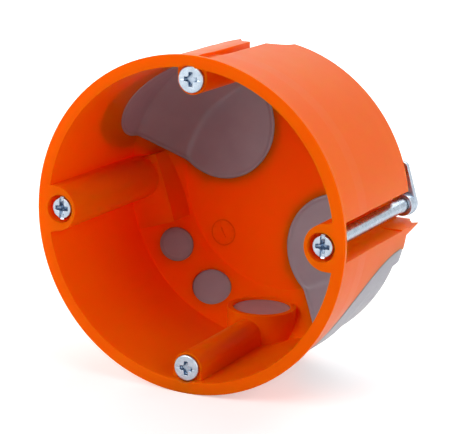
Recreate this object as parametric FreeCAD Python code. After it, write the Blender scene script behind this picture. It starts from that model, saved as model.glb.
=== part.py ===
import FreeCAD, Part
import math
import os

os.makedirs("parts", exist_ok=True)

# Hollow wall device box, installed position: X to the right, Y into the wall, Z up.
# The origin is the centre of the flange's back face, which rests on the wall surface.
# Everything is in millimetres. The shell repeats itself after half a turn about Y.

# Rim flange and round shell
wall_hole_diameter = 68.0
flange_overhang = 1.0
flange_thickness = 0.8
side_wall = 1.5
side_relief = 0.15
guide_band = 9.0
relief_taper = 4.0
straight_depth = 34.7
seam_step = 1.3
slanted_depth = 10.0
slanted_setback = 8.6
back_wall = 1.5
back_corner_wall = 1.8
soft_skin = 0.7
soft_panel = 0.8
panel_rim = 0.3
running_gap = 0.05

# Screws for the wiring device, 60 mm apart at 12 and 6 o'clock
device_screw_setback = 4.0
device_shank_radius = 1.5
device_head_radius = 2.8
device_head_front = 0.15
device_screw_length = 12.0
device_core_end = 1.05
rib_side = 1.7
rib_front = 0.9
slot_left = -1.3
slot_right = 2.3
shallow_slot_depth = 0.8

# Claw screws at 3 and 9 o'clock
claw_screw_setback = 4.2
claw_shank_radius = 1.55
claw_head_radius = 2.2
claw_head_front = -0.1
claw_head_height = 1.5
head_well_gap = 0.8
channel_bridge = 1.2
boss_side = 1.8
boss_shift = 1.1
boss_overlap = 0.3
channel_setback = 3.1
channel_gap = 1.75
channel_shift = 0.5
channel_opening_slope = 0.454
front_groove = 0.5

# Steel claws, tucked in pockets behind the side wall
claw_rest_angle = 107.0
claw_setback = 7.7
claw_plate = 1.2
claw_collar_radius = 2.4
claw_collar_height = 1.9
claw_arm_half_width = 2.6
claw_arm_length = 9.0
claw_corner_rounding = 1.4
claw_screw_past_claw = 0.7
pocket_gap = 0.6
pocket_wall_back = 4.6
pocket_face_slope = 0.2
fin_overlap = 0.6
fin_tip_setback = 1.6

# Soft cable and conduit entries
conduit_angle = 139.0
conduit_setback = 14.1
skin_margin = 1.0
skin_side_margin = 2.6
skin_reach = 22.0
conduit_channel_gap = 0.54
cable_radii = (3.95, 4.4)
cable_angles = (213.5, 239.4)
cable_ring_setback = 4.6
soft_disc = 0.9
disc_sink = 0.35
socket_setback = 0.5
socket_radius = 6.4
socket_wall = 1.2
socket_height = 8.4
socket_disc_sink = 0.4

# Drive recesses of the screws
cross_reach = 1.5
cross_width = 0.9
cross_depth = 0.6
slot_width = 1.1
slot_depth = 0.7

# Sizes that follow from the ones above
far = 60.0
root_radius = wall_hole_diameter / 2.0
flange_radius = root_radius + flange_overhang
inner_radius = root_radius - side_wall
seam_radius = root_radius - side_relief
outer_seam_depth = straight_depth
inner_seam_depth = outer_seam_depth - seam_step
back_outer_radius = root_radius - slanted_setback
back_outer_depth = outer_seam_depth + slanted_depth
back_inner_depth = back_outer_depth - back_wall
back_inner_radius = back_outer_radius - back_corner_wall
device_offset = root_radius - device_screw_setback
device_head_rear = rib_front - running_gap
core_length = device_head_front + device_screw_length + device_core_end
rib_radius = device_shank_radius + rib_side
claw_screw_offset = root_radius - claw_screw_setback
head_well_radius = claw_head_radius + head_well_gap
well_floor = claw_head_front + claw_head_height
channel_start = well_floor + channel_bridge
channel_radius = claw_shank_radius + channel_gap
boss_radius = head_well_radius + boss_side
channel_end = outer_seam_depth - channel_setback
claw_front = outer_seam_depth + claw_setback
claw_screw_end = claw_front + claw_plate + claw_screw_past_claw
rear_channel_radius = claw_collar_radius + pocket_gap
fin_rear = claw_front + fin_overlap
fin_tip = fin_rear - fin_tip_setback
conduit_centre = root_radius - conduit_setback
conduit_to_channel = claw_screw_offset * math.sin(math.radians(180 - conduit_angle))
skin_half_width = conduit_to_channel - channel_radius - conduit_channel_gap
conduit_radius = skin_half_width - skin_side_margin
skin_radius = conduit_radius + skin_margin
cable_ring_radius = inner_radius - cable_ring_setback
socket_depth = outer_seam_depth + socket_setback
socket_top = root_radius - socket_height
rib_rear = socket_depth - socket_radius + running_gap


def vec(x, y, z):
    return FreeCAD.Vector(x, y, z)


def turned_profile(points):
    """Solid of revolution about Y from (radius, depth) points."""
    corners = [vec(r, y, 0) for r, y in points]
    face = Part.Face(Part.makePolygon(corners + [corners[0]]))
    return face.revolve(vec(0, 0, 0), vec(0, 1, 0), 360)


def prism(points, start, end):
    """Polygon of (x, z) points drawn into the wall from start to end."""
    corners = [vec(x, start, z) for x, z in points]
    face = Part.Face(Part.makePolygon(corners + [corners[0]]))
    return face.extrude(vec(0, end - start, 0))


def rod(x, z, radius, start, end):
    return Part.makeCylinder(radius, end - start, vec(x, start, z), vec(0, 1, 0))


def taper(x, z, radius_a, radius_b, start, end):
    return Part.makeCone(radius_a, radius_b, end - start, vec(x, start, z), vec(0, 1, 0))


def half_turn(shape):
    """The same shape on the opposite side of the box."""
    copy = shape.copy()
    copy.rotate(vec(0, 0, 0), vec(0, 1, 0), 180)
    return copy


def both(shape):
    return shape.fuse(half_turn(shape))


def shell_outside(inset):
    """Outer form of the shell behind the flange, drawn in by the inset."""
    return turned_profile([
        (0, 0),
        (root_radius - inset, 0),
        (root_radius - inset, guide_band),
        (seam_radius - inset, guide_band + relief_taper),
        (seam_radius - inset, outer_seam_depth - inset * 0.5),
        (back_outer_radius - inset, back_outer_depth - inset),
        (0, back_outer_depth - inset),
    ])


def pocket_front(seam_radius, seam_depth):
    """Space behind the slanted front face of the claw pockets."""
    axis_depth = seam_depth + pocket_face_slope * seam_radius
    far_depth = seam_depth - pocket_face_slope * (far - seam_radius)
    return turned_profile([(0, axis_depth), (far, far_depth), (far, far), (0, far)])


# Claw direction in the X-Z plane, and the direction towards the box axis
arm_angle = math.radians(claw_rest_angle)
arm_x = math.cos(arm_angle)
arm_z = math.sin(arm_angle)
inner_x = -arm_z
inner_z = arm_x


def beside_arm(inward, along):
    """Point given from the claw screw, inward across the arm and along it."""
    x = claw_screw_offset + inward * inner_x + along * arm_x
    z = inward * inner_z + along * arm_z
    return (x, z)


def open_channel(shift, radius, lower, start, end):
    """Round channel beside the claw screw, shifted outward, that opens out to the side."""
    centre = claw_screw_offset + shift
    rise = channel_opening_slope * (far - centre)
    opening = prism([
        (centre, radius),
        (far, radius + rise),
        (far, -lower),
        (centre, -lower),
    ], start, end)
    return rod(centre, 0, radius, start, end).fuse(opening)


def pocket(clearance, start_along, end_along, start):
    """Space for the tucked claw, widened by the clearance."""
    reach = claw_collar_radius + clearance
    return prism([
        beside_arm(reach, start_along),
        beside_arm(reach, end_along),
        beside_arm(-far, end_along),
        beside_arm(-far, start_along),
    ], start, far)


# Claw channel and pocket, seen from outside the box
arm_corner = math.hypot(claw_arm_length, claw_arm_half_width)
pocket_end = arm_corner + pocket_gap / 2.0
channel = open_channel(channel_shift, channel_radius, channel_radius, channel_start, channel_end)
rear_channel = open_channel(0, rear_channel_radius, rear_channel_radius, channel_end - 0.1, far)
groove_start = root_radius - front_groove
groove_rise = channel_opening_slope * (far - groove_start)
groove_side = channel_radius + channel_opening_slope * (groove_start - claw_screw_offset - channel_shift)
front_groove_cut = prism([
    (groove_start, groove_side),
    (far, groove_side + groove_rise),
    (far, -channel_radius),
    (groove_start, -channel_radius),
], 0, channel_start + 0.1)
claw_pocket = pocket(pocket_gap, 0, pocket_end, channel_start)
claw_pocket = claw_pocket.common(pocket_front(root_radius, outer_seam_depth))
outside_cut = channel.fuse([rear_channel, front_groove_cut, claw_pocket])

# The same channel and pocket, thickened by the wall and kept inside the box
boss_lower = channel_radius + side_wall
boss_inner = claw_screw_offset + boss_shift - boss_radius
boss_reach = inner_seam_depth + pocket_face_slope * (inner_radius - boss_inner) + boss_overlap
boss = open_channel(boss_shift, boss_radius, boss_lower, -flange_thickness, boss_reach)
rear_wall = open_channel(0, rear_channel_radius + side_wall, boss_lower, channel_end, far)
pocket_wall = pocket(pocket_gap + side_wall, -pocket_wall_back, pocket_end + side_wall, channel_start)
pocket_wall = pocket_wall.fuse(rear_wall).common(pocket_front(inner_radius, inner_seam_depth))
inside_keep = boss.fuse(pocket_wall)

# Fin behind the side wall that stops the opened claw
fin_inner = claw_screw_offset - channel_radius - side_wall
fin_outer = root_radius + 1.0
fin_notch = inner_radius
fin_lower = channel_radius + side_wall
fin_start = inner_seam_depth - 1.0
fin_outline = [
    vec(fin_inner, fin_start, -channel_radius),
    vec(fin_inner, fin_rear, -channel_radius),
    vec(fin_notch - fin_tip_setback, fin_rear, -channel_radius),
    vec(fin_notch, fin_tip - side_wall, -channel_radius),
    vec(fin_outer, fin_tip + 0.5, -channel_radius),
    vec(fin_outer, fin_start, -channel_radius),
]
fin_face = Part.Face(Part.makePolygon(fin_outline + [fin_outline[0]]))
fin = fin_face.extrude(vec(0, 0, -side_wall))
fin_side = fin_notch - side_wall
fin_slope = [
    vec(fin_side, fin_tip, -channel_radius),
    vec(fin_side, outer_seam_depth, -fin_lower),
    vec(fin_side, fin_rear + 2.0, -fin_lower),
    vec(fin_side, fin_rear + 2.0, -channel_radius),
]
fin_cut = Part.Face(Part.makePolygon(fin_slope + [fin_slope[0]])).extrude(vec(far, 0, 0))
fin = fin.cut(fin_cut)
fin = fin.common(rod(0, 0, seam_radius, 0, far))

# Ribs that carry the device screws, and the slots behind them
rib = rod(0, device_offset, rib_radius, rib_front, rib_rear)
rib_base = [
    (-rib_radius, device_offset),
    (rib_radius, device_offset),
    (rib_radius, far),
    (-rib_radius, far),
]
rib = rib.fuse(prism(rib_base, rib_front, rib_rear))
slot_floor = device_offset - rib_radius + side_wall
shallow_floor = root_radius - shallow_slot_depth
shallow_box = [(slot_left, shallow_floor), (slot_right, shallow_floor), (slot_right, far), (slot_left, far)]
deep_box = [(slot_left, slot_floor), (slot_right, slot_floor), (slot_right, far), (slot_left, far)]
rib_slot = prism(shallow_box, 0, core_length + 0.1).fuse(prism(deep_box, core_length, socket_depth))

# Screw seats
hole_end = core_length - device_core_end / 2.0
device_hole = rod(0, device_offset, device_shank_radius + running_gap, 0, hole_end)
device_room = rod(0, device_offset, device_head_radius + 0.1, -flange_thickness - 1, rib_front)
device_seat = device_hole.fuse(device_room)
claw_well = rod(claw_screw_offset, 0, head_well_radius, -flange_thickness - 1, well_floor)
claw_hole = rod(claw_screw_offset, 0, claw_shank_radius + running_gap, 0, channel_start + 1)
claw_seat = claw_well.fuse(claw_hole)

# Round cable sockets at top and bottom
socket_outer = Part.makeCylinder(socket_radius + socket_wall, far, vec(0, socket_depth, socket_top))
socket_bore = Part.makeCylinder(socket_radius, far, vec(0, socket_depth, socket_top - 1))
membrane_socket_upper = Part.makeCylinder(
    socket_radius, soft_disc, vec(0, socket_depth, socket_top + socket_disc_sink))
membrane_socket_lower = half_turn(membrane_socket_upper)

# Shell before the openings are cut
outside = turned_profile([
    (0, -flange_thickness),
    (flange_radius, -flange_thickness),
    (flange_radius, 0),
    (0, 0),
]).fuse(shell_outside(0))
outside = outside.cut(both(outside_cut))
outside = outside.fuse(both(fin))
outside = outside.cut(both(rib_slot))
inside = turned_profile([
    (0, -flange_thickness - 1),
    (inner_radius, -flange_thickness - 1),
    (inner_radius, inner_seam_depth),
    (back_inner_radius, back_inner_depth),
    (0, back_inner_depth),
])
inside = inside.cut(both(inside_keep.fuse([rib, socket_outer])))
shell = outside.cut(inside)
shell = shell.cut(both(device_seat.fuse([claw_seat, socket_bore])))

# Conduit entries: a soft panel through the wall, with a wider skin outside
entry_angle = math.radians(conduit_angle)
out_x = math.cos(entry_angle)
out_z = math.sin(entry_angle)


def entry_point(out, side):
    """Point in the X-Z plane, out along the entry direction and to its side."""
    return (out * out_x - side * out_z, out * out_z + side * out_x)


def entry_window(radius, side_width, reach, start):
    """Opening with a round end on the back wall and a round end on the side wall."""
    centre_x, centre_z = entry_point(conduit_centre, 0)
    back_part = rod(centre_x, centre_z, radius, start, far)
    flank = prism([
        entry_point(conduit_centre, -radius),
        entry_point(conduit_centre, radius),
        entry_point(inner_radius, side_width),
        entry_point(far, side_width),
        entry_point(far, -side_width),
        entry_point(inner_radius, -side_width),
    ], start, far)
    if reach > side_width:
        ellipse = Part.Ellipse(vec(0, reach, 0), vec(side_width, 0, 0), vec(0, 0, 0))
        side_part = Part.Face(Part.Wire(ellipse.toShape())).extrude(vec(0, 0, far))
    else:
        side_part = Part.makeCylinder(side_width, far)
    side_part.rotate(vec(0, 0, 0), vec(0, 1, 0), 90 - conduit_angle)
    side_part.translate(vec(conduit_radius * out_x, inner_seam_depth, conduit_radius * out_z))
    return back_part.fuse([flank, side_part])


window_inner = entry_window(conduit_radius, conduit_radius, conduit_radius, inner_seam_depth)
window_outer = entry_window(skin_radius, skin_half_width, skin_reach, inner_seam_depth)
skin = shell_outside(0).cut(shell_outside(soft_skin))
panel_radius = conduit_radius - panel_rim
thin_form = turned_profile([
    (0, 0),
    (inner_radius + soft_panel, 0),
    (inner_radius + soft_panel, inner_seam_depth + soft_panel * 0.3),
    (inner_radius + soft_panel * 0.35, inner_seam_depth + soft_panel),
    (back_inner_radius + soft_panel * 0.6, back_inner_depth + soft_panel),
    (0, back_inner_depth + soft_panel),
])
panel_recess = entry_window(panel_radius, panel_radius, panel_radius, inner_seam_depth).cut(thin_form)
membrane_upper = shell.common(window_inner.fuse(window_outer.common(skin))).cut(panel_recess)
membrane_lower = half_turn(membrane_upper)
shell = shell.cut(both(window_inner.fuse(window_outer.common(skin))))

# Small cable entries in the slanted zone
slant = math.atan2(back_inner_depth - inner_seam_depth, inner_radius - back_inner_radius)
normal_r = math.sin(slant)
normal_y = math.cos(slant)
ring_depth = inner_seam_depth + (inner_radius - cable_ring_radius) * math.tan(slant)
cable_discs = []
for radius, degrees in zip(cable_radii, cable_angles):
    angle = math.radians(degrees)
    direction = vec(normal_r * math.cos(angle), normal_y, normal_r * math.sin(angle))
    middle = vec(cable_ring_radius * math.cos(angle), ring_depth, cable_ring_radius * math.sin(angle))
    bore = Part.makeCylinder(radius, 5 * side_wall, middle - direction * side_wall, direction)
    shell = shell.cut(both(bore))
    cable_discs.append(Part.makeCylinder(radius, soft_disc, middle + direction * disc_sink, direction))

box_body = shell.removeSplitter()


# Screws and claws
def drive_cross(x, z, front):
    """Cross recess with straight arms."""
    reach = cross_reach
    bars = []
    for turn in (0, 90):
        bar = Part.makeBox(2 * reach, cross_depth, cross_width, vec(-reach, -0.05, -cross_width / 2.0))
        bar.rotate(vec(0, 0, 0), vec(0, 1, 0), turn)
        bars.append(bar)
    cross = bars[0].fuse(bars[1])
    cross.translate(vec(x, front, z))
    return cross


def device_screw():
    end = device_head_front + device_screw_length
    head = rod(0, device_offset, device_head_radius, device_head_front, device_head_rear)
    shank = rod(0, device_offset, device_shank_radius, device_head_rear - 0.1, end)
    return head.fuse(shank).cut(drive_cross(0, device_offset, device_head_front)).removeSplitter()


def claw_screw():
    x = claw_screw_offset
    head_end = claw_head_front + claw_head_height
    head = rod(x, 0, claw_head_radius, claw_head_front, head_end)
    shank = rod(x, 0, claw_shank_radius, head_end - 0.1, claw_screw_end)
    slot = Part.makeBox(slot_width, slot_depth, 2 * claw_head_radius + 1,
                        vec(x - slot_width / 2.0, claw_head_front - 0.01, -claw_head_radius - 0.5))
    screw = head.fuse(shank)
    return screw.cut(slot.fuse(drive_cross(x, 0, claw_head_front))).removeSplitter()


def claw():
    rear = claw_front + claw_plate
    hub = rod(claw_screw_offset, 0, claw_arm_half_width, claw_front, rear)
    collar = rod(claw_screw_offset, 0, claw_collar_radius, claw_front - claw_collar_height, rear)
    arm = prism([
        beside_arm(claw_arm_half_width, 0),
        beside_arm(claw_arm_half_width, claw_arm_length),
        beside_arm(-claw_arm_half_width, claw_arm_length),
        beside_arm(-claw_arm_half_width, 0),
    ], claw_front, rear)
    tip_edges = []
    for edge in arm.Edges:
        middle = edge.CenterOfMass
        along = (middle.x - claw_screw_offset) * arm_x + middle.z * arm_z
        if abs(along - claw_arm_length) < 0.01 and edge.Length < claw_plate + 0.01:
            tip_edges.append(edge)
    arm = arm.makeFillet(claw_corner_rounding, tip_edges)
    hole = rod(claw_screw_offset, 0, claw_shank_radius + running_gap, 0, far)
    return hub.fuse([collar, arm]).cut(hole).removeSplitter()


device_screw_upper = device_screw()
claw_screw_right = claw_screw()
claw_right = claw()

pieces = {
    "box_body": box_body,
    "membrane_upper": membrane_upper.removeSplitter(),
    "membrane_lower": membrane_lower.removeSplitter(),
    "membrane_socket_upper": membrane_socket_upper,
    "membrane_socket_lower": membrane_socket_lower,
    "membrane_cable_left_a": cable_discs[0],
    "membrane_cable_left_b": cable_discs[1],
    "membrane_cable_right_a": half_turn(cable_discs[0]),
    "membrane_cable_right_b": half_turn(cable_discs[1]),
    "device_screw_upper": device_screw_upper,
    "device_screw_lower": half_turn(device_screw_upper),
    "claw_screw_right": claw_screw_right,
    "claw_screw_left": half_turn(claw_screw_right),
    "claw_right": claw_right,
    "claw_left": half_turn(claw_right),
}

for name, shape in pieces.items():
    solid = shape.Solids[0] if len(shape.Solids) == 1 else shape
    solid.exportStep("parts/" + name + ".step")
    size = solid.BoundBox
    print(name, "solids", len(shape.Solids), "volume", round(shape.Volume, 1), "valid", shape.isValid(),
          [round(v, 2) for v in (size.XMin, size.XMax, size.YMin, size.YMax, size.ZMin, size.ZMax)])
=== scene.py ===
import math

import bmesh
import bpy
from mathutils import Matrix, Vector


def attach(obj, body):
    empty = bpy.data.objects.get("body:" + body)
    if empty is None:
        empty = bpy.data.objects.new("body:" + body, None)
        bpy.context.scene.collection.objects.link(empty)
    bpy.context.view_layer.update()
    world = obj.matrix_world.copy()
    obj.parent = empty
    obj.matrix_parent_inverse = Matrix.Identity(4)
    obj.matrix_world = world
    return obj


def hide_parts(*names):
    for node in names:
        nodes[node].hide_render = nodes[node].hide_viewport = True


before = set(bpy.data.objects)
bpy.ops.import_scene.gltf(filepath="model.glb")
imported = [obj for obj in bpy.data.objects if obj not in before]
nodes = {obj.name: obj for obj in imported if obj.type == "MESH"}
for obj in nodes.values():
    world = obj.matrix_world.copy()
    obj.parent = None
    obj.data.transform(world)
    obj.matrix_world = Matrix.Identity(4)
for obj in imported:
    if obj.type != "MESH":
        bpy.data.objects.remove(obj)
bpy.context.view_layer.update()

# Shapes are given in millimetres in the CAD frame: X to the right, Y into the wall, Z up.
# Half a turn about Y brings the box onto itself, so each piece is made once and copied.
MM = 0.001
WELD_DISTANCE = 0.002 * MM
SHARP_DEGREES = 35.0
collection = bpy.context.scene.collection


# Mesh helpers
def mesh_object(name, points, faces):
    """New mesh object from points in millimetres."""
    mesh = bpy.data.meshes.new(name)
    mesh.from_pydata([(x * MM, y * MM, z * MM) for x, y, z in points], [], faces)
    mesh.validate()
    obj = bpy.data.objects.new(name, mesh)
    collection.objects.link(obj)
    return obj


def finish_mesh(obj, sharp_degrees=SHARP_DEGREES):
    """Outward normals, smooth faces and sharp edges where the surface turns quickly."""
    work = bmesh.new()
    work.from_mesh(obj.data)
    bmesh.ops.remove_doubles(work, verts=work.verts, dist=WELD_DISTANCE)
    bmesh.ops.recalc_face_normals(work, faces=work.faces)
    limit = math.radians(sharp_degrees)
    for face in work.faces:
        face.smooth = True
    for edge in work.edges:
        edge.smooth = len(edge.link_faces) == 2 and edge.calc_face_angle(0.0) < limit
    work.to_mesh(obj.data)
    work.free()
    return obj


def apply_modifiers(obj):
    """Replaces the mesh by its modified form."""
    graph = bpy.context.evaluated_depsgraph_get()
    mesh = bpy.data.meshes.new_from_object(obj.evaluated_get(graph))
    obj.modifiers.clear()
    obj.data = mesh


def remove(obj):
    bpy.data.objects.remove(obj, do_unlink=True)


def cut(obj, cutter):
    """Takes the cutter's volume out of an object, and the cutter out of the scene."""
    tool = obj.modifiers.new("cut", "BOOLEAN")
    tool.operation = "DIFFERENCE"
    tool.solver = "EXACT"
    tool.object = cutter
    apply_modifiers(obj)
    remove(cutter)


def bevel(obj, width):
    """Rounds the sharp edges."""
    tool = obj.modifiers.new("bevel", "BEVEL")
    tool.width = width * MM
    tool.segments = 2
    tool.limit_method = "ANGLE"
    tool.angle_limit = math.radians(SHARP_DEGREES)
    apply_modifiers(obj)


def join(name, parts):
    """One object from several, keeping each one's faces."""
    work = bmesh.new()
    for part in parts:
        work.from_mesh(part.data)
        remove(part)
    mesh = bpy.data.meshes.new(name)
    work.to_mesh(mesh)
    work.free()
    obj = bpy.data.objects.new(name, mesh)
    collection.objects.link(obj)
    return obj


def half_turn(obj, name):
    """Copy of an object on the opposite side of the box."""
    mesh = obj.data.copy()
    mesh.transform(Matrix.Rotation(math.pi, 4, "Y"))
    copy = bpy.data.objects.new(name, mesh)
    collection.objects.link(copy)
    return copy


def stitched(rows, segments):
    """Faces between neighbouring rings of point numbers; a row of one point is a tip."""
    faces = []
    for a, b in zip(rows, rows[1:]):
        for k in range(segments):
            n = (k + 1) % segments
            if len(a) == 1:
                faces.append((a[0], b[n], b[k]))
            elif len(b) == 1:
                faces.append((a[k], a[n], b[0]))
            else:
                faces.append((a[k], a[n], b[n], b[k]))
    return faces


def turned(name, profile_points, origin, axis, segments=96):
    """Closed solid turned about any axis, from (radius, height along the axis) points."""
    direction = Vector(axis).normalized()
    side = direction.orthogonal().normalized()
    other = direction.cross(side)
    start = Vector(origin)
    points = []
    rows = []
    for radius, height in profile_points:
        if radius < 1e-6:
            rows.append([len(points)])
            points.append(tuple(start + direction * height))
            continue
        row = []
        for k in range(segments):
            angle = 2 * math.pi * k / segments
            outward = side * math.cos(angle) + other * math.sin(angle)
            row.append(len(points))
            points.append(tuple(start + direction * height + outward * radius))
        rows.append(row)
    return finish_mesh(mesh_object(name, points, stitched(rows, segments)), 40.0)


def tube(name, section, x, z, segments=56):
    """Hollow solid turned about the line through (x, z) along Y, from a closed (radius, depth) section."""
    points = []
    rows = []
    for radius, depth in section:
        row = []
        for k in range(segments):
            angle = 2 * math.pi * k / segments
            row.append(len(points))
            points.append((x + radius * math.cos(angle), depth, z + radius * math.sin(angle)))
        rows.append(row)
    return finish_mesh(mesh_object(name, points, stitched(rows, segments)))


def prism(name, outline, start, end):
    """Solid from an (x, z) outline, between two depths."""
    count = len(outline)
    points = [(x, depth, z) for depth in (start, end) for x, z in outline]
    faces = [tuple(range(count)), tuple(range(2 * count - 1, count - 1, -1))]
    for k in range(count):
        n = (k + 1) % count
        faces.append((k, count + k, count + n, n))
    return finish_mesh(mesh_object(name, points, faces))


def smooth_step(value, start, end):
    k = max(0.0, min(1.0, (value - start) / (end - start)))
    return k * k * (3.0 - 2.0 * k)


# Material helpers
NOISE_LOW, NOISE_HIGH = 0.3, 0.7  # noise hardly leaves this range


def node_material(name):
    material = bpy.data.materials.new(name)
    material.use_nodes = True
    tree = material.node_tree
    return material, tree, tree.nodes["Principled BSDF"]


def add(tree, kind, **values):
    """New node with its sockets, or else its settings, set by name."""
    node = tree.nodes.new(kind)
    for key, value in values.items():
        if key in node.inputs:
            node.inputs[key].default_value = value
        else:
            setattr(node, key, value)
    return node


def noise(tree, scale, detail=3.0, roughness=0.55, stretch=(1.0, 1.0, 1.0)):
    """Noise in the object's own coordinates, in cycles per metre."""
    place = add(tree, "ShaderNodeTexCoord")
    mapping = add(tree, "ShaderNodeMapping", Scale=stretch)
    texture = add(tree, "ShaderNodeTexNoise", Scale=scale, Detail=detail, Roughness=roughness)
    tree.links.new(place.outputs["Object"], mapping.inputs["Vector"])
    tree.links.new(mapping.outputs["Vector"], texture.inputs["Vector"])
    return texture.outputs["Fac"]


def colour_range(tree, value, low, high, at=(0.35, 0.65)):
    """Colour that goes from low to high as the value passes between two places."""
    ramp = add(tree, "ShaderNodeValToRGB")
    for stop, place, colour in zip(ramp.color_ramp.elements, at, (low, high)):
        stop.position = place
        stop.color = (*colour, 1.0)
    tree.links.new(value, ramp.inputs["Fac"])
    return ramp.outputs["Color"]


def map_range(tree, value, source, target):
    """Value that goes through the target range as the given one goes through its own."""
    spread = add(tree, "ShaderNodeMapRange")
    spread.inputs["From Min"].default_value = source[0]
    spread.inputs["From Max"].default_value = source[1]
    spread.inputs["To Min"].default_value = target[0]
    spread.inputs["To Max"].default_value = target[1]
    tree.links.new(value, spread.inputs["Value"])
    return spread.outputs["Result"]


def combined(tree, operation, first, second):
    """Two values put through a math operation."""
    node = add(tree, "ShaderNodeMath", operation=operation)
    tree.links.new(first, node.inputs[0])
    tree.links.new(second, node.inputs[1])
    return node.outputs[0]


def bumped(tree, shader, layers, edge):
    """Stacks bump layers of (height, metres) on edges rounded by a radius in millimetres."""
    rounding = add(tree, "ShaderNodeBevel", samples=4)
    rounding.inputs["Radius"].default_value = edge * MM
    normal = rounding.outputs["Normal"]
    for height, distance in layers:
        bump = add(tree, "ShaderNodeBump", Strength=1.0, Distance=distance)
        tree.links.new(height, bump.inputs["Height"])
        tree.links.new(normal, bump.inputs["Normal"])
        normal = bump.outputs["Normal"]
    tree.links.new(normal, shader.inputs["Normal"])


def orange_plastic():
    """Clear orange that lets light through thin walls, which makes the inside deep red."""
    material, tree, shader = node_material("orange_plastic")
    tone = colour_range(tree, noise(tree, 55.0, 2.0), (0.97, 0.124, 0.0003), (0.985, 0.138, 0.0006))
    tree.links.new(tone, shader.inputs["Base Color"])
    gloss = map_range(tree, noise(tree, 240.0, 4.0), (NOISE_LOW, NOISE_HIGH), (0.30, 0.36))
    tree.links.new(gloss, shader.inputs["Roughness"])
    shader.inputs["IOR"].default_value = 1.49
    shader.inputs["Specular IOR Level"].default_value = 0.12
    shader.inputs["Specular Tint"].default_value = (1.0, 0.45, 0.10, 1.0)
    shader.inputs["Subsurface Weight"].default_value = 0.9
    shader.inputs["Subsurface Radius"].default_value = (1.0, 0.20, 0.05)
    shader.inputs["Subsurface Scale"].default_value = 0.0040
    grain = noise(tree, 2600.0, 2.0)
    flow = noise(tree, 120.0, 2.0, 0.5, (1.0, 0.35, 1.0))
    bumped(tree, shader, [(flow, 0.00002), (grain, 0.000004)], edge=0.22)
    return material


def soft_grey():
    """Soft, slightly cloudy grey of the entries."""
    material, tree, shader = node_material("soft_grey")
    tone = colour_range(tree, noise(tree, 90.0, 3.0), (0.31, 0.315, 0.365), (0.35, 0.355, 0.405))
    tree.links.new(tone, shader.inputs["Base Color"])
    gloss = map_range(tree, noise(tree, 500.0, 3.0), (NOISE_LOW, NOISE_HIGH), (0.30, 0.38))
    tree.links.new(gloss, shader.inputs["Roughness"])
    shader.inputs["IOR"].default_value = 1.46
    shader.inputs["Subsurface Weight"].default_value = 0.8
    shader.inputs["Subsurface Radius"].default_value = (1.0, 0.9, 0.9)
    shader.inputs["Subsurface Scale"].default_value = 0.0015
    grain = noise(tree, 3200.0, 3.0)
    bumped(tree, shader, [(grain, 0.000012)], edge=0.25)
    return material


def zinc_steel():
    """Bluish zinc plating, with painted shade that darkens its crevices and recesses towards dark blue."""
    material, tree, shader = node_material("zinc_steel")
    tone = colour_range(tree, noise(tree, 700.0, 4.0), (0.38, 0.45, 0.53), (0.50, 0.57, 0.65))
    # Painted shade: ambient occlusion darkens the recesses and crevices towards dark blue.
    cavity = add(tree, "ShaderNodeAmbientOcclusion", samples=8, only_local=True)
    cavity.inputs["Distance"].default_value = 0.0012
    recess_shade = colour_range(tree, cavity.outputs["AO"], (0.10, 0.22, 0.38), (1.0, 1.0, 1.0), (0.40, 0.85))
    shaded_tone = add(tree, "ShaderNodeMix", data_type="RGBA", blend_type="MULTIPLY")
    shaded_tone.inputs["Factor"].default_value = 1.0
    colour_a, colour_b, colour_result = shaded_tone.inputs[6], shaded_tone.inputs[7], shaded_tone.outputs[2]
    tree.links.new(tone, colour_a)
    tree.links.new(recess_shade, colour_b)
    tree.links.new(colour_result, shader.inputs["Base Color"])
    gloss = map_range(tree, noise(tree, 1500.0, 4.0), (NOISE_LOW, NOISE_HIGH), (0.24, 0.34))
    tree.links.new(gloss, shader.inputs["Roughness"])
    shader.inputs["Metallic"].default_value = 1.0
    scuffs = noise(tree, 2200.0, 3.0, 0.6)
    bumped(tree, shader, [(scuffs, 0.000003)], edge=0.10)
    return material


plastic = orange_plastic()
grey = soft_grey()
zinc = zinc_steel()
for name, obj in nodes.items():
    obj.data.materials.clear()
    if name == "box_body":
        obj.data.materials.append(plastic)
    elif name.startswith("membrane"):
        obj.data.materials.append(grey)
    else:
        obj.data.materials.append(zinc)


def place(obj, body, node, slot, material):
    """Gives a piece its material and its body, in place of the CAD node it stands for."""
    obj.data.materials.clear()
    obj.data.materials.append(material)
    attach(obj, body)
    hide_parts(node)


# Sizes shared with the CAD source
DEVICE_OFFSET = 30.0
CLAW_OFFSET = 29.8
INNER_RADIUS = 32.5
OUTER_RADIUS = 33.85
BACK_INNER_RADIUS = 23.6
BACK_OUTER_RADIUS = 25.4
BACK_INNER_DEPTH = 43.2
BACK_OUTER_DEPTH = 44.7
INNER_SEAM_DEPTH = 33.4
OUTER_SEAM_DEPTH = 34.7

# Screws with a thread and a drive recess
RECESS_ROOM = 1.7  # how far the shank is hollow behind the head's recess
CREST_WIDTH = 1.35  # above 1 the thread's crest is flat
ARM_HALF_WIDTH = 0.52
ARM_TAPER = 0.10
ARM_END_DEPTH = 0.50
ARM_DROP = 1.00
ARM_HOLLOW = 0.45
CONE_RADIUS = 0.80
CONE_DEPTH = 1.10
CONE_SLOPE = 1.30
NICK_DEPTH, NICK_HALF_WIDTH, NICK_REACH = 0.06, 0.16, 2.35
SLOT_DEPTH, SLOT_HALF_WIDTH, LIP_HALF_WIDTH = 0.38, 0.50, 0.54
HEAD_SEGMENTS = 128
FLAT_RINGS = 46
EDGE_STEPS = 5
REAR_CHAMFER = 0.1


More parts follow.
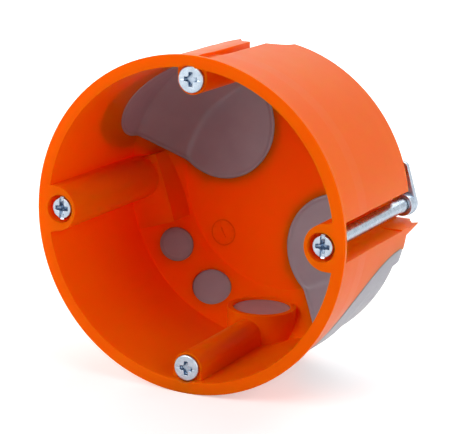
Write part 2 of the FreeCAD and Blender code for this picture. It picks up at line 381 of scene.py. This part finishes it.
def thread(x, z, radius, depth, pitch, start, end, segments, rows_per_turn):
    """Threaded rod along Y, hollow in front so that the head's recess has room in it."""
    rows = int((end - start) / pitch * rows_per_turn)
    points = []
    faces = []
    for row in range(rows + 1):
        y = start + (end - start) * row / rows
        fade = min(1.0, (y - start) / pitch, (end - y) / (0.8 * pitch))
        for k in range(segments):
            phase = ((y - start) / pitch - k / segments) % 1.0
            flank = 1.0 - abs(2.0 * phase - 1.0)
            crest = min(1.0, flank * CREST_WIDTH)
            r = radius - depth + depth * crest * fade
            angle = 2 * math.pi * k / segments
            points.append((x + r * math.cos(angle), y, z + r * math.sin(angle)))
    for row in range(rows):
        for k in range(segments):
            n = (k + 1) % segments
            a = row * segments
            b = a + segments
            faces.append((a + k, a + n, b + n, b + k))
    points.append((x, start + RECESS_ROOM, z))
    for k in range(segments):
        faces.append((k, len(points) - 1, (k + 1) % segments))
    faces.append(tuple(rows * segments + k for k in range(segments - 1, -1, -1)))
    return finish_mesh(mesh_object("shank", points, faces), 50.0)


def cross_depth(u, v, reach):
    """Depth of a cross recess with four hollow arms round a deep cone."""
    deepest = 0.0
    for along, across in ((abs(u), abs(v)), (abs(v), abs(u))):
        half_width = ARM_HALF_WIDTH - ARM_TAPER * along / reach
        floor = ARM_END_DEPTH + ARM_DROP * (1.0 - along / reach)
        hollow = 1.0 - ARM_HOLLOW * min(1.0, across / half_width) ** 2
        inside = smooth_step(half_width - across, -0.02, 0.05) * smooth_step(reach - along, -0.02, 0.06)
        deepest = max(deepest, floor * hollow * inside)
    from_edge = CONE_RADIUS - math.hypot(u, v)
    middle = (CONE_DEPTH + CONE_SLOPE * max(0.0, from_edge)) * smooth_step(from_edge, -0.03, 0.06)
    return max(deepest, middle)


def device_recess(u, v):
    """Cross with a shallow level nick on each side."""
    nick = smooth_step(NICK_HALF_WIDTH - abs(v), -0.04, 0.04) * smooth_step(NICK_REACH - abs(u), 0.0, 0.15)
    return max(cross_depth(u, v, 1.45), NICK_DEPTH * nick)


def claw_recess(u, v):
    """Cross with a wide upright slot that runs out at the rim."""
    slot = SLOT_DEPTH * smooth_step(SLOT_HALF_WIDTH - abs(u), -0.03, 0.05)
    return max(cross_depth(u, v, 1.5), slot)


def screw_head(x, z, radius, front, rear, rounding, recess, lip=0.0):
    """Head with its recess pressed into the front face, drawn out by a lip at the slot's ends."""
    flat = radius - rounding
    points = [(x, front + recess(0.0, 0.0), z)]
    faces = []
    rows = []  # radius, distance behind the front, share of the recess
    for ring in range(1, FLAT_RINGS + 1):
        rows.append((flat * ring / FLAT_RINGS, 0.0, 1.0))
    for step in range(1, EDGE_STEPS + 1):
        turn = math.pi / 2 * step / EDGE_STEPS
        behind = rounding * (1 - math.cos(turn))
        rows.append((flat + rounding * math.sin(turn), behind, 1.0 - step / EDGE_STEPS))
    rows.append((radius, rear - front - REAR_CHAMFER, 0.0))
    rows.append((radius - REAR_CHAMFER, rear - front, 0.0))
    for r, behind, share in rows:
        for k in range(HEAD_SEGMENTS):
            angle = 2 * math.pi * k / HEAD_SEGMENTS
            u = r * math.cos(angle)
            v = r * math.sin(angle)
            depth = behind + recess(u, v) * share
            drawn = smooth_step(LIP_HALF_WIDTH - abs(u), 0.0, 0.07) * smooth_step(r, 0.8 * radius, radius)
            points.append((x + u, front + depth, z + v * (1.0 + lip / radius * drawn)))
    for k in range(HEAD_SEGMENTS):
        faces.append((0, 1 + k, 1 + (k + 1) % HEAD_SEGMENTS))
    for row in range(len(rows) - 1):
        a = 1 + row * HEAD_SEGMENTS
        b = a + HEAD_SEGMENTS
        for k in range(HEAD_SEGMENTS):
            n = (k + 1) % HEAD_SEGMENTS
            faces.append((a + k, b + k, b + n, a + n))
    last = 1 + (len(rows) - 1) * HEAD_SEGMENTS
    faces.append(tuple(last + k for k in range(HEAD_SEGMENTS)))
    return finish_mesh(mesh_object("head", points, faces), 50.0)


def device_screw():
    x, z = 0.0, DEVICE_OFFSET
    top = screw_head(x, z, radius=2.8, front=0.15, rear=0.85, rounding=0.32, recess=device_recess)
    shank = thread(x, z, radius=1.5, depth=0.22, pitch=0.7, start=0.8, end=12.15, segments=28, rows_per_turn=8)
    return join("screw_device_upper", [top, shank])


def claw_screw():
    x, z = CLAW_OFFSET, 0.0
    top = screw_head(x, z, radius=2.2, front=-0.1, rear=1.4, rounding=0.22, recess=claw_recess, lip=0.24)
    shank = thread(x, z, radius=1.55, depth=0.07, pitch=0.6, start=1.35, end=44.3, segments=26, rows_per_turn=6)
    return join("screw_claw_right", [top, shank])


screw = device_screw()
place(screw, "device_screw_upper", "device_screw_upper", "zinc_steel", zinc)
place(half_turn(screw, "screw_device_lower"), "device_screw_lower", "device_screw_lower", "zinc_steel", zinc)
screw = claw_screw()
place(screw, "claw_screw_right", "claw_screw_right", "zinc_steel", zinc)
place(half_turn(screw, "screw_claw_left"), "claw_screw_left", "claw_screw_left", "zinc_steel", zinc)


# Soft conduit entries, drawn over the bends from the back wall to the side wall.
# A place in the wall is a side, a length along the wall's profile from the axis, and a share
# of the wall's thickness, from the inner face at 0 to the outer face at 1.
ENTRY_ANGLE = math.radians(139.0)
TO_CLAW_ANGLE = math.radians(41.0)
CHANNEL_HALF_WIDTH = 3.3
CHANNEL_GAP = 0.54
CONDUIT_CENTRE = 19.9
SKIN_HALF_WIDTH = CLAW_OFFSET * math.sin(TO_CLAW_ANGLE) - CHANNEL_HALF_WIDTH - CHANNEL_GAP
CONDUIT_RADIUS = SKIN_HALF_WIDTH - 2.6
SKIN_RADIUS = CONDUIT_RADIUS + 1.0
SKIN_REACH = 22.0
SKIN_SHARE = 0.53
SLANT_LENGTH = math.hypot(INNER_RADIUS - BACK_INNER_RADIUS, BACK_INNER_DEPTH - INNER_SEAM_DEPTH)
SEAM_LENGTH = BACK_INNER_RADIUS + SLANT_LENGTH
CORNER_PLACE = (BACK_OUTER_DEPTH - INNER_SEAM_DEPTH) / SKIN_REACH
CORNER_WIDTH = SKIN_HALF_WIDTH * math.sqrt(1.0 - CORNER_PLACE ** 2)
SETTLE_LENGTH = 4.0  # the outer face takes up the seam's step over this length
ENTRY_GAP = 0.03
LIP = 0.35
PANEL_INSET = 0.45
PANEL_SHARE = 0.60
BEAD_HEIGHT, BEAD_PLACE, BEAD_WIDTH = 0.13, 0.97, 0.30
QUARTER_STEPS = 24
FLANK_STEPS = 16


def softened(value, corner, low, high, blend):
    """Two straight slopes that meet at a corner, joined by a short curve."""
    distance = value - corner
    if distance <= -blend:
        return distance * low
    if distance >= blend:
        return distance * high
    k = (distance + blend) / (2.0 * blend)
    return -blend * low + 2.0 * blend * (low * (k - k * k / 2.0) + high * k * k / 2.0)


def profile(length, share):
    """Radius and depth of the wall at a length and a share."""
    cone = SEAM_LENGTH - BACK_INNER_RADIUS
    inner_run = (INNER_RADIUS - BACK_INNER_RADIUS) / cone
    inner_drop = (INNER_SEAM_DEPTH - BACK_INNER_DEPTH) / cone
    outer_start = BACK_OUTER_RADIUS / BACK_INNER_RADIUS
    outer_run = (OUTER_RADIUS - BACK_OUTER_RADIUS) / cone
    outer_drop = (OUTER_SEAM_DEPTH - BACK_OUTER_DEPTH) / cone
    step = (OUTER_SEAM_DEPTH - INNER_SEAM_DEPTH) / SETTLE_LENGTH
    bend = 0.7 + 0.5 * share
    inner_r = softened(length, BACK_INNER_RADIUS, 1.0, inner_run, bend) + BACK_INNER_RADIUS
    inner_r += softened(length, SEAM_LENGTH, 0.0, -inner_run, bend)
    inner_y = BACK_INNER_DEPTH + softened(length, BACK_INNER_RADIUS, 0.0, inner_drop, bend)
    inner_y += softened(length, SEAM_LENGTH, 0.0, -1.0 - inner_drop, bend)
    outer_r = softened(length, BACK_INNER_RADIUS, outer_start, outer_run, bend) + BACK_OUTER_RADIUS
    outer_r += softened(length, SEAM_LENGTH, 0.0, -outer_run, bend)
    outer_y = BACK_OUTER_DEPTH + softened(length, BACK_INNER_RADIUS, 0.0, outer_drop, bend)
    outer_y += softened(length, SEAM_LENGTH, 0.0, -1.0 - step - outer_drop, bend)
    outer_y += softened(length, SEAM_LENGTH + SETTLE_LENGTH, 0.0, step, bend)
    return inner_r + (outer_r - inner_r) * share, inner_y + (outer_y - inner_y) * share


def on_wall(side, length, share):
    """Point in space of a place in the wall."""
    radius, depth = profile(length, share)
    out = math.sqrt(max(radius * radius - side * side, 0.01))
    c = math.cos(ENTRY_ANGLE)
    s = math.sin(ENTRY_ANGLE)
    return (out * c - side * s, depth, out * s + side * c)


def length_at_radius(radius, share):
    """Length along the profile at a radius that is on the back wall or the slanted zone."""
    low, high = 0.0, SEAM_LENGTH
    for _ in range(40):
        middle = (low + high) / 2.0
        if profile(middle, share)[0] < radius:
            low = middle
        else:
            high = middle
    return (low + high) / 2.0


def entry_boundary(back_radius, side_width, reach, share, corner=0.0):
    """Closed boundary of (side, length, length of the spine point that it belongs to).

    It is round on the back wall, straight on the flanks and half an ellipse on the side wall.
    A corner width squares the round part out to the corners where the side opening starts."""
    boundary = []
    for k in range(-QUARTER_STEPS, QUARTER_STEPS + 1):
        turn = math.pi / 2 * k / QUARTER_STEPS
        radius = back_radius
        if corner > 0.0:
            across = corner / max(abs(math.sin(turn)), 0.01)
            ahead = (CONDUIT_CENTRE - CONDUIT_RADIUS + corner - CORNER_WIDTH) / max(math.cos(turn), 0.01)
            radius = max(back_radius, min(across, ahead))
        side = radius * math.sin(turn)
        out = CONDUIT_CENTRE - radius * math.cos(turn)
        boundary.append((side, length_at_radius(math.hypot(side, out), share), CONDUIT_CENTRE))
    last_side, last_length = boundary[-1][:2]
    for k in range(1, FLANK_STEPS):
        part = k / FLANK_STEPS
        side = last_side + (side_width - last_side) * part
        length = last_length + (SEAM_LENGTH - last_length) * part
        boundary.append((side, length, CONDUIT_CENTRE + (SEAM_LENGTH - CONDUIT_CENTRE) * part))
    for k in range(QUARTER_STEPS * 2 + 1):
        turn = math.pi * k / (QUARTER_STEPS * 2)
        boundary.append((side_width * math.cos(turn), SEAM_LENGTH + reach * math.sin(turn), SEAM_LENGTH))
    for k in range(1, FLANK_STEPS):
        part = k / FLANK_STEPS
        side = -side_width + (side_width - last_side) * part
        length = SEAM_LENGTH + (last_length - SEAM_LENGTH) * part
        boundary.append((side, length, SEAM_LENGTH + (CONDUIT_CENTRE - SEAM_LENGTH) * part))
    return boundary


def conduit_entry(name):
    """Soft panel with a thicker skin round it on the outside, in the shell's opening."""

    def even(size, share):
        return entry_boundary(size, size, size, share)

    def skin(growth, share):
        sizes = (SKIN_RADIUS + growth, SKIN_HALF_WIDTH + growth, SKIN_REACH + growth)
        return entry_boundary(*sizes, share, CORNER_WIDTH + growth)

    def between(a, b, k):
        return [(p[0] + (q[0] - p[0]) * k, p[1] + (q[1] - p[1]) * k) for p, q in zip(a, b)]

    def spine(a):
        return [(0.0, point[2]) for point in a]

    def ring(a, share):
        rings.append([on_wall(point[0], point[1], share) for point in a])

    rings = []
    inner = even(CONDUIT_RADIUS - ENTRY_GAP, 0.0)
    inner_deep = even(CONDUIT_RADIUS - ENTRY_GAP, SKIN_SHARE)
    panel = even(CONDUIT_RADIUS - PANEL_INSET, 1.0)
    rim = even(CONDUIT_RADIUS, 1.0)
    outer_deep = skin(-ENTRY_GAP, SKIN_SHARE)
    outer = skin(-ENTRY_GAP, 1.0)
    lip = skin(LIP, 1.0)

    # Inner face with its bead, then the step that holds the skin
    parts = [0.9 * k / 24 for k in range(24)]
    parts += [0.9, 0.915, 0.93, 0.943, 0.954, 0.964, 0.973, 0.981, 0.988, 0.994, 1.0]
    for part in parts:
        bead = BEAD_HEIGHT * math.exp(-((part - BEAD_PLACE) * CONDUIT_RADIUS / BEAD_WIDTH) ** 2)
        ring(between(spine(inner), inner, part), 0.03 - bead)
    ring(between(inner, inner_deep, 0.5), 0.16)
    ring(inner_deep, SKIN_SHARE)
    ring(outer_deep, SKIN_SHARE)
    ring(outer, 0.985)

    # Lip round the skin, outer face of the skin and outer face of the panel
    ring(lip, 0.985)
    ring(lip, 1.02)
    ring(between(outer, lip, 0.55), 1.07)
    for k in range(1, 9):
        ring(between(lip, rim, k / 8), 1.08)
    ring(between(rim, panel, 0.4), 0.98)
    ring(between(rim, panel, 0.8), 0.68)
    ring(between(rim, panel, 1.0), PANEL_SHARE)
    for k in range(1, 17):
        ring(between(panel, spine(panel), k / 16), PANEL_SHARE - 0.02 * k / 16)

    count = len(inner)
    rows = [range(row * count, (row + 1) * count) for row in range(len(rings))]
    points = [point for row in rings for point in row]
    return finish_mesh(mesh_object(name, points, stitched(rows, count)), 40.0)


entry = conduit_entry("entry_conduit_upper")
place(entry, "box", "membrane_upper", "grey_soft", grey)
place(half_turn(entry, "entry_conduit_lower"), "box", "membrane_lower", "grey_soft", grey)

# Soft round cable entries, in the slanted zone and in the sockets
DISC_THICKNESS = 0.9
DISC_EDGE = 0.16
DISC_SINK = 0.35
DISC_GAP = 0.02
SLANT = math.atan2(BACK_INNER_DEPTH - INNER_SEAM_DEPTH, INNER_RADIUS - BACK_INNER_RADIUS)
CABLE_RING_RADIUS = 27.9
CABLE_RING_DEPTH = INNER_SEAM_DEPTH + (INNER_RADIUS - CABLE_RING_RADIUS) * math.tan(SLANT)
CABLE_ENTRIES = (("a", 3.95, 213.5), ("b", 4.4, 239.4))  # letter, radius, degrees round the box
SOCKET_RADIUS = 6.4
SOCKET_PLACE = (0.0, 35.2, 26.0)


def soft_disc(name, radius, origin, axis, dish=0.10):
    """Thin soft disc with a rolled edge, a piercing ring and a slightly dished middle."""
    front = ((0.0, dish), (0.35, dish * 0.85), (0.62, dish * 0.4), (0.76, dish * 0.2),
             (0.79, dish * 0.2 + 0.02), (0.82, dish * 0.1), (0.88, 0.0))
    back = ((0.78, 0.0), (0.74, 0.09), (0.70, 0.0), (0.35, dish * 0.3), (0.0, dish * 0.4))
    flat = radius - DISC_EDGE
    points = [(radius * share, height) for share, height in front]
    for step in range(5):
        turn = math.pi / 2 * step / 4
        points.append((flat + DISC_EDGE * math.sin(turn), DISC_EDGE * (1 - math.cos(turn))))
    for step in range(5):
        turn = math.pi / 2 * step / 4
        height = DISC_THICKNESS - DISC_EDGE + DISC_EDGE * math.sin(turn)
        points.append((flat + DISC_EDGE * math.cos(turn), height))
    points += [(radius * share, DISC_THICKNESS - sunk) for share, sunk in back]
    return turned(name, points, origin, axis)


for letter, radius, degrees in CABLE_ENTRIES:
    angle = math.radians(degrees)
    c = math.cos(angle)
    s = math.sin(angle)
    axis = Vector((math.sin(SLANT) * c, math.cos(SLANT), math.sin(SLANT) * s))
    middle = Vector((CABLE_RING_RADIUS * c, CABLE_RING_DEPTH, CABLE_RING_RADIUS * s))
    disc = soft_disc("entry_cable_left_" + letter, radius - DISC_GAP, middle + axis * DISC_SINK, axis)
    place(disc, "box", "membrane_cable_left_" + letter, "grey_soft", grey)
    opposite = half_turn(disc, "entry_cable_right_" + letter)
    place(opposite, "box", "membrane_cable_right_" + letter, "grey_soft", grey)

disc = soft_disc("entry_socket_upper", SOCKET_RADIUS - DISC_GAP, SOCKET_PLACE, (0.0, 0.0, 1.0), dish=0.16)
place(disc, "box", "membrane_socket_upper", "grey_soft", grey)
place(half_turn(disc, "entry_socket_lower"), "box", "membrane_socket_lower", "grey_soft", grey)

# Claws of pressed steel, each an arm on a collar
CLAW_ANGLE = math.radians(107.0)
CLAW_FRONT = 42.4
CLAW_PLATE = 1.2
CLAW_HALF_WIDTH = 2.6
CLAW_LENGTH = 9.0
CLAW_CORNER = 1.4
BORE_RADIUS = 1.6
COLLAR_HEIGHT = 1.9
COLLAR = ((1.62, 0.0), (2.22, 0.0), (2.36, 0.05), (2.4, 0.18), (2.4, 1.55), (2.5, 1.78),
          (2.5, 1.95), (1.62, 1.95), (1.62, 0.0))  # radius, height from the collar's front


def claw_outline():
    """Rounded arm with a round hub, from the screw outwards, as (along, across) points."""
    outline = []
    for k in range(25):
        turn = math.pi / 2 + math.pi * k / 24
        outline.append((CLAW_HALF_WIDTH * math.cos(turn), CLAW_HALF_WIDTH * math.sin(turn)))
    for side, start in ((-1.0, -math.pi / 2), (1.0, 0.0)):
        for k in range(9):
            turn = start + math.pi / 2 * k / 8
            along = CLAW_LENGTH - CLAW_CORNER + CLAW_CORNER * math.cos(turn)
            across = side * (CLAW_HALF_WIDTH - CLAW_CORNER) + CLAW_CORNER * math.sin(turn)
            outline.append((along, across))
    return outline


def claw(name):
    """Flat arm with rounded edges on a turned collar, bored for the screw."""
    c = math.cos(CLAW_ANGLE)
    s = math.sin(CLAW_ANGLE)
    outline = [(CLAW_OFFSET + a * c - b * s, a * s + b * c) for a, b in claw_outline()]
    plate = prism(name, outline, CLAW_FRONT, CLAW_FRONT + CLAW_PLATE)
    drill = [(0.0, -1.0), (BORE_RADIUS, -1.0), (BORE_RADIUS, 6.0), (0.0, 6.0)]
    cut(plate, turned("bore", drill, (CLAW_OFFSET, CLAW_FRONT - 2.5, 0.0), (0.0, 1.0, 0.0), 48))
    bevel(plate, 0.16)
    finish_mesh(plate)
    section = [(radius, CLAW_FRONT - COLLAR_HEIGHT + height) for radius, height in COLLAR]
    return join(name, [plate, tube("collar", section, CLAW_OFFSET, 0.0)])


piece = claw("claw_plate_right")
place(piece, "claw_right", "claw_right", "zinc_steel", zinc)
place(half_turn(piece, "claw_plate_left"), "claw_left", "claw_left", "zinc_steel", zinc)

# Plain mould mark on the inside of the back wall
MARK_X = -14.0
MARK_Z = -12.5
MARK_RADIUS = 2.9
MARK_RAISED = -0.03
MARK_SUNK = 0.02
RING_SECTION = ((-0.07, 0.0), (-0.03, MARK_RAISED), (0.03, MARK_RAISED), (0.07, 0.0),
                (0.07, MARK_SUNK), (-0.07, MARK_SUNK), (-0.07, 0.0))
TICK = ((2.1, -0.05), (2.6, -0.05), (2.6, 0.05), (2.1, 0.05))
POINTER = ((-0.05, -1.3), (0.05, -1.3), (0.05, 0.8), (0.25, 0.7), (0.0, 1.3), (-0.25, 0.7), (-0.05, 0.8))


def mould_mark(name):
    """Fine raised ring with short ticks and a pointer, hardly sunk into the wall."""
    section = [(MARK_RADIUS + radius, height) for radius, height in RING_SECTION]
    parts = [turned(name, section, (MARK_X, BACK_INNER_DEPTH, MARK_Z), (0.0, 1.0, 0.0), 72)]
    drawings = [(TICK, math.pi / 4 * k + 0.3) for k in range(8)]
    drawings.append((POINTER, 0.5))
    for outline, turn in drawings:
        c = math.cos(turn)
        s = math.sin(turn)
        placed = [(MARK_X + a * c - b * s, MARK_Z + a * s + b * c) for a, b in outline]
        parts.append(prism("line", placed, BACK_INNER_DEPTH + MARK_RAISED, BACK_INNER_DEPTH + MARK_SUNK))
    return join(name, parts)


mark = mould_mark("mould_mark")
mark.data.materials.append(plastic)
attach(mark, "box")

# Camera fitted to the photograph, whose focal length was found in its pixels
AZIMUTH = math.radians(26.911)
ELEVATION = math.radians(13.922)
ROLL = math.radians(1.216)
DISTANCE = 382.08
SHIFT_RIGHT = 8.846
SHIFT_UP = 2.339
RIM_DEPTH = 0.8
FOCAL_PIXELS = 1901.95
PHOTO_WIDTH = 460.0
SENSOR_WIDTH = 36.0
forward = Vector((-math.sin(AZIMUTH) * math.cos(ELEVATION),
                  math.cos(AZIMUTH) * math.cos(ELEVATION),
                  -math.sin(ELEVATION)))
level_right = Vector((math.cos(AZIMUTH), math.sin(AZIMUTH), 0.0))
level_up = level_right.cross(forward)
right = math.cos(ROLL) * level_right + math.sin(ROLL) * level_up
up = -math.sin(ROLL) * level_right + math.cos(ROLL) * level_up
rim_middle = Vector((0.0, -RIM_DEPTH, 0.0))
position = rim_middle - DISTANCE * forward + SHIFT_RIGHT * level_right + SHIFT_UP * level_up
camera_data = bpy.data.cameras.new("camera")
camera_data.sensor_width = SENSOR_WIDTH
camera_data.lens = FOCAL_PIXELS / PHOTO_WIDTH * SENSOR_WIDTH
camera_data.clip_start = 0.01
camera_data.clip_end = 20.0
camera = bpy.data.objects.new("camera", camera_data)
collection.objects.link(camera)
camera_axes = Matrix((right, up, -forward)).transposed().to_4x4()
camera.matrix_world = Matrix.Translation(position * MM) @ camera_axes
bpy.context.scene.camera = camera

# Stage: a pale floor that the rim stands on
FLOOR_LEVEL = -35.0
FLOOR_REACH = 3000.0
FLOOR_GREY = 0.86
GLOW_PLACES = (0.15, 0.90)  # metres from the middle of the floor
GLOW_LEVELS = (0.42, 0.92)


def floor_material():
    """Pale floor that keeps the shadow and whitens with distance, where it is seen or mirrored."""
    material, tree, shader = node_material("floor")
    tree.nodes.remove(shader)
    diffuse = add(tree, "ShaderNodeBsdfDiffuse")
    diffuse.inputs["Color"].default_value = (FLOOR_GREY, FLOOR_GREY, FLOOR_GREY, 1.0)
    place_on_floor = add(tree, "ShaderNodeTexCoord")
    distance = add(tree, "ShaderNodeVectorMath", operation="LENGTH")
    tree.links.new(place_on_floor.outputs["Object"], distance.inputs[0])
    rise = map_range(tree, distance.outputs["Value"], GLOW_PLACES, GLOW_LEVELS)
    rays = add(tree, "ShaderNodeLightPath")
    seen = combined(tree, "MAXIMUM", rays.outputs["Is Camera Ray"], rays.outputs["Is Glossy Ray"])
    glow = add(tree, "ShaderNodeEmission")
    tree.links.new(combined(tree, "MULTIPLY", seen, rise), glow.inputs["Strength"])
    both = add(tree, "ShaderNodeAddShader")
    tree.links.new(diffuse.outputs[0], both.inputs[0])
    tree.links.new(glow.outputs[0], both.inputs[1])
    tree.links.new(both.outputs[0], tree.nodes["Material Output"].inputs["Surface"])
    return material


corners = [(x * FLOOR_REACH, y * FLOOR_REACH, FLOOR_LEVEL) for x, y in ((-1, -1), (1, -1), (1, 1), (-1, 1))]
floor = mesh_object("floor", corners, [(0, 1, 2, 3)])
floor.data.materials.append(floor_material())

# Light: a pale world and soft boxes
AMBIENT = 0.15
SOFT_BOXES = (
    # name, place, what it aims at, width, height, watts
    ("key", (-350, -720, 480), (0, 15, 0), 700, 500, 4.9),
    ("top_rear", (60, 420, 560), (0, 20, 0), 600, 400, 2.4),
    ("rear_left", (-650, 350, 200), (0, 20, 0), 500, 500, 3.0),
    ("fill_right", (650, -100, 300), (0, 15, 0), 500, 500, 2.4),
)


def world_light():
    """White where it is seen, mirrored or looked through; an even dim light on the rest."""
    world = bpy.data.worlds.new("studio")
    bpy.context.scene.world = world
    world.use_nodes = True
    tree = world.node_tree
    background = tree.nodes["Background"]
    background.inputs["Color"].default_value = (1.0, 1.0, 1.0, 1.0)
    rays = add(tree, "ShaderNodeLightPath")
    seen = combined(tree, "MAXIMUM", rays.outputs["Is Camera Ray"], rays.outputs["Is Glossy Ray"])
    seen = combined(tree, "MAXIMUM", seen, rays.outputs["Is Transmission Ray"])
    tree.links.new(map_range(tree, seen, (0.0, 1.0), (AMBIENT, 1.0)), background.inputs["Strength"])


def soft_box(name, start, aim, width, height, power):
    light = bpy.data.lights.new(name, "AREA")
    light.shape = "RECTANGLE"
    light.size = width * MM
    light.size_y = height * MM
    light.energy = power
    obj = bpy.data.objects.new(name, light)
    collection.objects.link(obj)
    start = Vector(start) * MM
    facing = (Vector(aim) * MM - start).to_track_quat("-Z", "Y").to_matrix().to_4x4()
    obj.matrix_world = Matrix.Translation(start) @ facing


world_light()
for settings in SOFT_BOXES:
    soft_box(*settings)

bpy.context.scene.view_settings.view_transform = "Standard"
